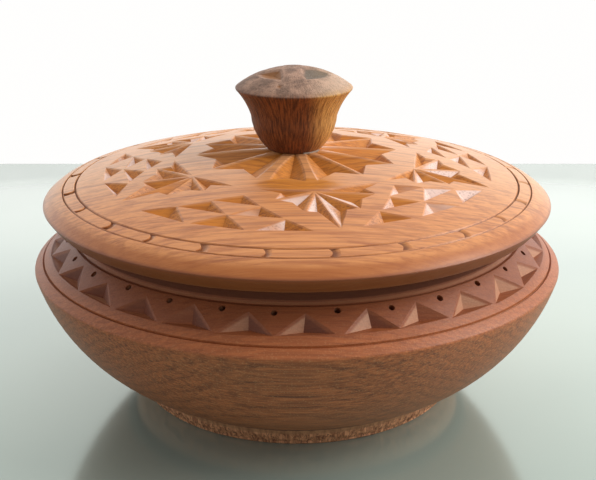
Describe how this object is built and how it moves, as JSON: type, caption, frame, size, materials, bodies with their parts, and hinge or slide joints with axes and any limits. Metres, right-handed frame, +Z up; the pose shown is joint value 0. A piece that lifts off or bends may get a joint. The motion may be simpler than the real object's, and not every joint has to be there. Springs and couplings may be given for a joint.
{
  "type": "go stone bowl",
  "caption": "Round turned-wood bowl with a chip-carved domed lid and flared knob, for holding go stones.",
  "frame": {"origin": "on the table under the middle of the foot", "axes": "+Z up along the turning axis; -Y is the side facing the viewer; +X to the viewer's right"},
  "size_m": [0.15, 0.15, 0.0918],
  "materials": {
    "bowl_wood": "satin",
    "foot_wood": "matte",
    "lid_wood": "satin",
    "knob_wood": "satin"
  },
  "bodies": {
    "base": {"bowl": "bowl_wood", "foot": "foot_wood"},
    "cover": {"lid": "lid_wood", "knob": "knob_wood"}
  },
  "joints": [
    {"name": "lid_lift", "type": "slide", "parent": "base", "child": "cover", "axis": [0, 0, 1], "range_m": [0, 0.06]}
  ]
}
